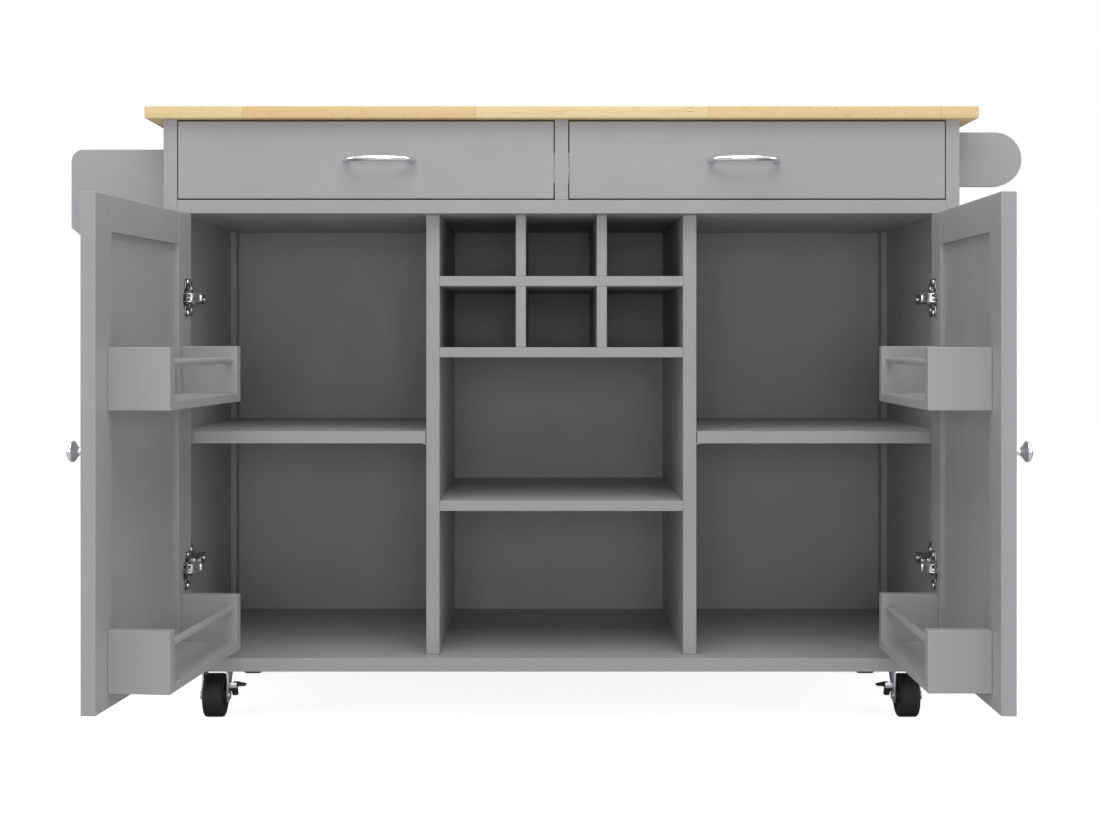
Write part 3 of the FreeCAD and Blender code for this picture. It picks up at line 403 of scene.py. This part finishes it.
def plated(name, color, rough, spread, cloud_scale, brush, depth):
    """A plated metal whose sheen varies in clouds, with a fine brushed relief."""
    finish, tree, shader = new_finish(name, color, rough, 1.0)
    cloud = noise(tree, pattern_space(tree), cloud_scale, detail=3)
    sheen = span(tree, cloud, max(rough - spread, 0.02), rough + spread, start=0.3, end=0.7)
    tree.links.new(sheen, shader.inputs["Roughness"])
    darker = tuple(level * 0.88 for level in color)
    tree.links.new(shades(tree, cloud, (0.35, darker), (0.6, color)), shader.inputs["Base Color"])
    strokes = noise(tree, pattern_space(tree, brush), scale=900, detail=1)
    dent(tree, shader, [(strokes, depth)])
    return finish


chrome = plated("polished_chrome", (0.83, 0.84, 0.86), 0.07, 0.03, 60, EVEN, 0.002 * MM)
nickel = plated("nickel_plating", (0.95, 0.95, 0.94), 0.3, 0.06, 120, BRUSHED, 0.008 * MM)
# A darkened copy of the nickel: painted shade on the hinge cups and plates
nickel_painted_shade = plated("nickel_plating_painted_shade", (0.3, 0.3, 0.31), 0.26, 0.08, 120, BRUSHED, 0.008 * MM)
zinc = plated("zinc_plating", (0.66, 0.67, 0.69), 0.36, 0.08, 90, EVEN, 0.02 * MM)

# %% [markdown]
# ## Black rubber and plastic
# The treads are a matt black elastomer that picks up dust, so their sheen is patchy and a fine
# pitting shows. The brake levers are moulded nylon with a light spark-eroded grain.

# %% Tread and nylon
DUST = 0.006


def moulded(name, color, rough, pit_scale, pit_depth):
    """A black moulding: uneven sheen, and pits of the given size and depth."""
    finish, tree, shader = new_finish(name, color, rough)
    space = pattern_space(tree)
    dust = noise(tree, space, scale=60, detail=4)
    dusty = tuple(level + DUST for level in color)
    tree.links.new(shades(tree, dust, (0.4, color), (0.75, dusty)), shader.inputs["Base Color"])
    sheen = span(tree, dust, rough - 0.1, rough + 0.12, start=0.3, end=0.7)
    tree.links.new(sheen, shader.inputs["Roughness"])
    dent(tree, shader, [(noise(tree, space, pit_scale), pit_depth)])
    return finish


tread_black = moulded("matt_black_tread", (0.008, 0.008, 0.009), 0.7, 1500, 0.03 * MM)
nylon_black = moulded("black_nylon", (0.014, 0.014, 0.015), 0.45, 2500, 0.02 * MM)

# %% [markdown]
# ## Finishes on the boards
# Most of the cart's boards already have the right shape, with their edges eased by a millimetre, so
# they stay as they are and only take a finish. Putting a material in a board's slot changes nothing
# of its shape.

# %% Put the finishes on
FINISH_OF_SLOT = {
    "oak": oak,
    "grey_paint": grey_paint,
    "back_board": back_paint,
    "drawer_board": drawer_paint,
    "chrome": chrome,
    "nickel": nickel,
    "zinc": zinc,
    "tread": tread_black,
    "brake_black": nylon_black,
}
slot_of = {part["node"]: part["material_slot"] for part in frame["record"]["subparts"]}
for name, node in nodes.items():
    node.data.materials.clear()
    node.data.materials.append(FINISH_OF_SLOT[slot_of[name]])
print(sorted(set(slot_of.values())))

# %% [markdown]
# ## Helpers for modelling
# Everything is selected after an import, and an operator works on all that is selected, so each
# piece starts from nothing selected. When a piece is done its place is baked into its mesh, and it
# rides on the body that carries it.

# %% Start, finish and ease a piece
# Edges where the surface turns by more than this many degrees are rounded
SHARP_TURN = 30
# Corners of a solid's loose triangles that lie this close become one
WELD = 0.01 * MM


def start_clean():
    """Nothing selected, in object mode."""
    if bpy.context.object and bpy.context.object.mode != "OBJECT":
        bpy.ops.object.mode_set(mode="OBJECT")
    bpy.ops.object.select_all(action="DESELECT")


def only(piece):
    """Selects one piece and makes it active."""
    start_clean()
    piece.select_set(True)
    bpy.context.view_layer.objects.active = piece


def bake_place(piece, place=Matrix.Identity(4)):
    """Moves a piece to its place and bakes that into its mesh."""
    only(piece)
    piece.matrix_world = place @ piece.matrix_world
    bpy.ops.object.transform_apply(location=True, rotation=True, scale=True)


def smooth(piece, angle=35):
    """Smooth shading over gentle turns, with sharp edges kept."""
    only(piece)
    bpy.ops.object.shade_smooth_by_angle(angle=radians(angle))


def settle(piece, name, node_name, finish=None):
    """Names a piece that stands for a node, gives it a finish if it has none yet, and lets it ride
    on the node's body."""
    piece.name = name
    piece.data.name = name
    if finish:
        piece.data.materials.clear()
        piece.data.materials.append(finish)
    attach(piece, nodes[node_name]["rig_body"])
    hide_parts(node_name)
    return piece


def bevel(piece, width, segments=2):
    """A bevel over the piece's sharp edges, applied."""
    only(piece)
    round_off = piece.modifiers.new("round_off", "BEVEL")
    round_off.width = width
    round_off.segments = segments
    round_off.limit_method = "ANGLE"
    round_off.angle_limit = radians(SHARP_TURN)
    round_off.use_clamp_overlap = True
    bpy.ops.object.modifier_apply(modifier=round_off.name)


def merged_copy(node_name):
    """A copy of a part's mesh with its loose triangles merged into whole faces."""
    source = nodes[node_name]
    start_clean()
    piece = source.copy()
    piece.data = source.data.copy()
    piece.parent = None
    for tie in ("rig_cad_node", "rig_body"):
        del piece[tie]
    bpy.context.scene.collection.objects.link(piece)
    only(piece)
    bpy.ops.object.mode_set(mode="EDIT")
    bpy.ops.mesh.select_all(action="SELECT")
    bpy.ops.mesh.remove_doubles(threshold=WELD)
    bpy.ops.mesh.dissolve_limited(angle_limit=radians(1))
    bpy.ops.object.mode_set(mode="OBJECT")
    return piece


def eased_copy(node_name, name, finish, width):
    """A pressed or moulded part over its solid, with its edges rounded."""
    piece = merged_copy(node_name)
    bevel(piece, width)
    smooth(piece)
    settle(piece, name, node_name, finish)
    print(name, len(piece.data.polygons), "faces")


# %% [markdown]
# ## Worktop
# A slab with softly rounded edges. The solid's arris is a plain quarter round, so the slab is made
# again from a cube of the same size, with a bevel of four steps that catches a finer highlight.

# %% Worktop
def slab_over(node_name, name, finish, width, segments):
    """A cube scaled to a node's box, with its edges rounded."""
    low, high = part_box(node_name)
    start_clean()
    bpy.ops.mesh.primitive_cube_add(size=1, location=(low + high) / 2)
    piece = bpy.context.object
    piece.scale = high - low
    bake_place(piece)
    bevel(piece, width, segments)
    smooth(piece, 60)
    return settle(piece, name, node_name, finish)


worktop = slab_over("worktop", "worktop_slab", oak, 1.8 * MM, 4)
print("worktop", [round(side / MM) for side in worktop.dimensions])

# %% [markdown]
# ## Bow pulls
# Each pull is a bent bar that swells towards its two round feet. It is made as a smith would draw
# it: a disc on the drawer front is extruded step by step, and at each step the new ring is turned a
# little and narrowed or widened about its own middle. Two tight bends and one long bow between them
# bring it back to the front.

# %% Bow pulls
PULL_HALF = 48 * MM
BEND = 16 * MM
BEND_TURN = 68
BAR_RADIUS = 4.2 * MM
FOOT_RADIUS = 6.2 * MM
FLARE_RADIUS = 5.3 * MM
BEND_STEPS = 9
BOW_STEPS = 16


def pull_steps():
    """The pull's steps from its first foot, as (length, turn in degrees, radius) of each."""
    foot = [(1 * MM, 0, FOOT_RADIUS), (2 * MM, 0, FLARE_RADIUS), (3 * MM, 0, BAR_RADIUS)]
    bend_long = BEND * radians(BEND_TURN)
    bend = [(bend_long / BEND_STEPS, BEND_TURN / BEND_STEPS, BAR_RADIUS)] * BEND_STEPS
    lean = 90 - BEND_TURN
    bow_radius = (PULL_HALF - BEND * (1 - cos(radians(BEND_TURN)))) / sin(radians(lean))
    bow_long = bow_radius * radians(2 * lean)
    bow = [(bow_long / BOW_STEPS, 2 * lean / BOW_STEPS, BAR_RADIUS)] * BOW_STEPS
    back = [(3 * MM, 0, FLARE_RADIUS), (2 * MM, 0, FOOT_RADIUS), (1 * MM, 0, FOOT_RADIUS)]
    return foot + bend + bow + bend + back


def bow_pull(side):
    """A pull over its solid, drawn out ring by ring from its left foot."""
    node_name = f"drawer_pull_{side}"
    low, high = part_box(node_name)
    here = Vector(((low.x + high.x) / 2 - PULL_HALF, high.y, (low.z + high.z) / 2))
    start_clean()
    bpy.ops.mesh.primitive_circle_add(vertices=28, radius=FOOT_RADIUS, fill_type="NGON",
                                      location=here, rotation=(pi / 2, 0, 0))
    piece = bpy.context.object
    bake_place(piece)
    bpy.ops.object.mode_set(mode="EDIT")
    bpy.ops.mesh.select_mode(type="EDGE")
    bpy.ops.mesh.select_all(action="SELECT")
    heading, radius = -90.0, FOOT_RADIUS
    for length, turn, wide in pull_steps():
        way = radians(heading + turn / 2)
        step = Vector((cos(way), sin(way), 0)) * length
        here = here + step
        heading += turn
        bpy.ops.mesh.extrude_edges_move(TRANSFORM_OT_translate={"value": step})
        bpy.ops.transform.rotate(value=-radians(turn), orient_axis="Z", center_override=here)
        bpy.ops.transform.resize(value=(wide / radius,) * 3, center_override=here)
        radius = wide
    bpy.ops.mesh.edge_face_add()
    bpy.ops.mesh.select_all(action="SELECT")
    bpy.ops.mesh.normals_make_consistent(inside=False)
    bpy.ops.object.mode_set(mode="OBJECT")
    smooth(piece, 40)
    print(f"bow_pull_{side}", [round(size / MM, 1) for size in piece.dimensions])
    settle(piece, f"bow_pull_{side}", node_name, chrome)


for side in SIDES:
    bow_pull(side)

# %% [markdown]
# ## Turned pieces
# Knobs, wheels and screw heads are all shapes that a lathe makes. The helper starts with a circle
# and extrudes it ring by ring, resizing each ring to its radius, just as one would by hand.

# %% Lathe helper
def turned(rings, segments=48, closed=True):
    """A turned shape along +Z from rings of (height, radius), with its ends closed or open."""
    start_clean()
    height, radius = rings[0]
    bpy.ops.mesh.primitive_circle_add(vertices=segments, radius=radius, location=(0, 0, height),
                                      fill_type="NGON" if closed else "NOTHING")
    piece = bpy.context.object
    bake_place(piece)
    bpy.ops.object.mode_set(mode="EDIT")
    bpy.ops.mesh.select_mode(type="EDGE")
    bpy.ops.mesh.select_all(action="SELECT")
    for (before, small), (after, large) in zip(rings, rings[1:]):
        bpy.ops.mesh.extrude_edges_move(TRANSFORM_OT_translate={"value": (0, 0, after - before)})
        wider = large / small
        bpy.ops.transform.resize(value=(wider, wider, 1), center_override=(0, 0, after))
    if closed:
        bpy.ops.mesh.edge_face_add()
    bpy.ops.mesh.select_all(action="SELECT")
    bpy.ops.mesh.normals_make_consistent(inside=False)
    bpy.ops.object.mode_set(mode="OBJECT")
    return piece


print("lathe ready")

# %% [markdown]
# ## Knobs
# A knob is a turned mushroom: a foot against the door, a narrow waist and a domed head. The lathe
# makes it standing on the floor, and it is then laid over to point out of its door and swung with
# the door to the angle at which the door stands open.

# %% Knobs
DOOR_JOINTS = [joint for joint in frame["joints"] if joint["child"].startswith("door_")]
OPENING = {joint["child"]: -joint["range_deg"][0] for joint in DOOR_JOINTS}
PIVOT = {joint["child"]: Vector(joint["pos_m"]) for joint in DOOR_JOINTS}
# Seen from above, the left door swings clockwise and the right door the other way
TURN_WAY = {"left": -1, "right": 1}


def on_door(side):
    """The move from a door's shut place about its pivot line to where it stands open."""
    body = f"door_{side}"
    pivot = Vector((PIVOT[body].x, PIVOT[body].y, 0))
    swing = Matrix.Rotation(radians(TURN_WAY[side] * OPENING[body]), 4, "Z")
    return Matrix.Translation(pivot) @ swing


# The (height, radius) of each ring, in millimetres
KNOB_RINGS = [(0, 6.5), (1.2, 6.4), (3, 5.2), (5, 4.6), (9, 4.5), (12, 5.2), (14.5, 7.2),
              (16.5, 10), (18, 12.2), (19.2, 13.2), (20.6, 13.5), (22, 13.3), (23.4, 12.4),
              (24.8, 10.4), (26, 7.2), (26.7, 3.6), (27, 0.6)]
KNOB_FROM_PIVOT = 343.8 * MM
KNOB_LEVEL = 428 * MM
DOOR_FACE = 1 * MM


def knob(side):
    """A knob over its solid, on the outer face of a door."""
    piece = turned([(height * MM, radius * MM) for height, radius in KNOB_RINGS])
    across = -TURN_WAY[side] * KNOB_FROM_PIVOT
    outwards = Matrix.Translation((across, DOOR_FACE, KNOB_LEVEL)) @ Matrix.Rotation(pi / 2, 4, "X")
    bake_place(piece, on_door(side) @ outwards)
    smooth(piece, 50)
    return settle(piece, f"knob_{side}", f"door_knob_{side}", chrome)


for side in SIDES:
    piece = knob(side)
    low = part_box(f"door_knob_{side}")[0]
    off = [round((value - edge) / MM, 1) for value, edge in zip(piece.bound_box[0], low)]
    print(f"knob_{side}", "off its solid by", off, "mm")

# %% [markdown]
# ## Screw heads
# The screws that hold the cups and the arms are small raised heads with a cross recess. One is
# turned on the lathe, the cross is cut out of it with two crossed bars, and copies of it take the
# place of the plain discs in the solids.

# %% One screw head
# Heights and lengths along Z are in head heights, the others in head radii
SCREW_RINGS = [(0, 1), (0.5, 0.98), (0.8, 0.82), (0.95, 0.55), (1.0, 0.3)]
RECESS_LONG = 1.1
RECESS_WIDE = 0.24
RECESS_DEEP = 0.55


def screw_head():
    """A screw head of unit radius and unit height along +Z, with a cross recess."""
    head = turned(SCREW_RINGS, 20)
    bars = []
    for size in ((RECESS_LONG, RECESS_WIDE), (RECESS_WIDE, RECESS_LONG)):
        start_clean()
        bpy.ops.mesh.primitive_cube_add(size=1, location=(0, 0, 1))
        bar = bpy.context.object
        bar.scale = (*size, 2 * RECESS_DEEP)
        bake_place(bar)
        bars.append(bar)
    for bar in bars:
        only(head)
        cut_out = head.modifiers.new("cross", "BOOLEAN")
        cut_out.operation = "DIFFERENCE"
        cut_out.solver = "EXACT"
        cut_out.object = bar
        bpy.ops.object.modifier_apply(modifier=cut_out.name)
    for bar in bars:
        bpy.data.objects.remove(bar)
    smooth(head, 30)
    return head


SCREW = screw_head()
SCREW.data.materials.append(nickel)
print("screw head", len(SCREW.data.polygons), "faces")

# %% [markdown]
# ## Hinges, forks and levers
# These are pressed and moulded parts. Their solids have the right outline but knife-sharp edges,
# which no press leaves, so each is copied, its triangles are merged, and its edges are rounded a
# few tenths of a millimetre. On the hinges the plain discs are found among the loose parts by
# their size, and a screw head is laid on each. The hinge cups and the arms behind their necks take
# a darkened copy of the nickel, which is painted shade, and the necks in front keep the plain
# nickel as a painted highlight.

# %% Rounded pressings
# A loose part no longer than this is a screw's disc
SCREW_LIMIT = 9 * MM
# The arms' necks lie in front of this y, and take the plain nickel as a painted highlight
NECK_END = -174 * MM


def with_screws(node_name, name, finish, width, out_of, painted_highlight_to=None):
    """An eased copy whose loose discs are exchanged for screw heads. out_of gives the way a head
    points from where its disc is, and faces in front of the y given last take the plain nickel,
    a painted highlight."""
    piece = merged_copy(node_name)
    only(piece)
    bpy.ops.mesh.separate(type="LOOSE")
    parts = list(bpy.context.selected_objects)
    plates = [part for part in parts if max(part.dimensions) > SCREW_LIMIT]
    heads = []
    for disc in parts:
        if disc in plates:
            continue
        corners = [Vector(corner) for corner in disc.bound_box]
        middle = sum(corners, Vector()) / len(corners)
        radius = disc.dimensions.z / 2
        out = out_of(middle)
        points = [vertex.co.dot(out) for vertex in disc.data.vertices]
        tall = max(points) - min(points)
        head = SCREW.copy()
        head.data = SCREW.data.copy()
        bpy.context.scene.collection.objects.link(head)
        head.matrix_world = Matrix.Identity(4)
        foot = middle - out * tall / 2
        lay = Vector((0, 0, 1)).rotation_difference(out).to_matrix().to_4x4()
        full_size = Matrix.Diagonal((radius, radius, tall, 1))
        bake_place(head, Matrix.Translation(foot) @ lay @ full_size)
        heads.append(head)
        bpy.data.objects.remove(disc)
    start_clean()
    for plate in plates:
        plate.data.materials.clear()
        plate.data.materials.append(finish)
        bevel(plate, width)
        if painted_highlight_to is not None:
            # Faces in front of the given y take the plain nickel, a painted highlight beside the
            # darkened nickel, which is painted shade
            plate.data.materials.append(nickel)
            for face in plate.data.polygons:
                face.material_index = int(face.center.y < painted_highlight_to)
    start_clean()
    for part in plates + heads:
        part.select_set(True)
    bpy.context.view_layer.objects.active = plates[0]
    bpy.ops.object.join()
    piece = bpy.context.object
    smooth(piece)
    settle(piece, name, node_name)
    print(name, len(plates), "pressings", len(heads), "screws")


def door_back(side):
    """The way that the inner face of an open door looks."""
    return on_door(side).to_3x3() @ Vector((0, 1, 0))


# The cups and the arm plates take the darkened nickel, painted shade, and the links and the arms'
# necks the plain nickel, a painted highlight
for side in SIDES:
    with_screws(f"hinge_cups_{side}", f"cups_{side}", nickel_painted_shade, 0.2 * MM,
                lambda place: door_back(side))
    eased_copy(f"hinge_links_{side}", f"links_{side}", nickel, 0.2 * MM)
with_screws("hinge_arms", "arms_and_plates", nickel_painted_shade, 0.4 * MM,
            lambda place: Vector((-1 if place.x > 0 else 1, 0, 0)), NECK_END)
bpy.data.objects.remove(SCREW)
for corner in CORNERS:
    eased_copy(f"caster_fork_{corner}", f"fork_{corner}", zinc, 0.4 * MM)
for corner in FRONT_CORNERS:
    eased_copy(f"caster_brake_{corner}", f"brake_lever_{corner}", nylon_black, 0.6 * MM)

# %% [markdown]
# ## Wheels
# Each wheel is one moulding with a rounded tread, a shallow parting line round the middle, dished
# sides and a hub that fills the fork. The lathe turns the whole cross-section about the axle.

# %% Wheels
# One half of the cross-section as (distance along the axle, radius), in millimetres
WHEEL_SIDE = [(-16.4, 4.1), (-16.4, 9.8), (-15.8, 10.7), (-13, 11), (-11.4, 12.4), (-11.2, 19.6),
              (-12.2, 21.2), (-14.4, 23.6), (-15, 24.6), (-15, 28.2), (-14.5, 30.2), (-13.6, 31.4),
              (-12.2, 32.2), (-10.4, 32.5), (-0.5, 32.5), (0, 32.3)]
AXLES = {joint["child"]: joint for joint in frame["joints"] if joint["child"].startswith("wheel_")}


def wheel(corner):
    """A wheel over its solid, turned about its axle."""
    node_name = f"caster_wheel_{corner}"
    axle = AXLES[f"wheel_{corner}"]
    rings = WHEEL_SIDE + [(-across, radius) for across, radius in reversed(WHEEL_SIDE[:-1])]
    piece = turned([(across * MM, radius * MM) for across, radius in rings], 64, closed=False)
    only(piece)
    bpy.ops.object.mode_set(mode="EDIT")
    bpy.ops.mesh.select_all(action="DESELECT")
    bpy.ops.mesh.select_mode(type="EDGE")
    bpy.ops.mesh.select_non_manifold()
    bpy.ops.mesh.bridge_edge_loops()
    bpy.ops.mesh.select_all(action="SELECT")
    bpy.ops.mesh.normals_make_consistent(inside=False)
    bpy.ops.object.mode_set(mode="OBJECT")
    lay = Vector((0, 0, 1)).rotation_difference(Vector(axle["axis"])).to_matrix().to_4x4()
    bake_place(piece, Matrix.Translation(Vector(axle["pos_m"])) @ lay)
    smooth(piece, 40)
    return settle(piece, f"wheel_{corner}", node_name, tread_black)


for corner in CORNERS:
    piece = wheel(corner)
print("wheel", [round(size / MM, 1) for size in piece.dimensions])
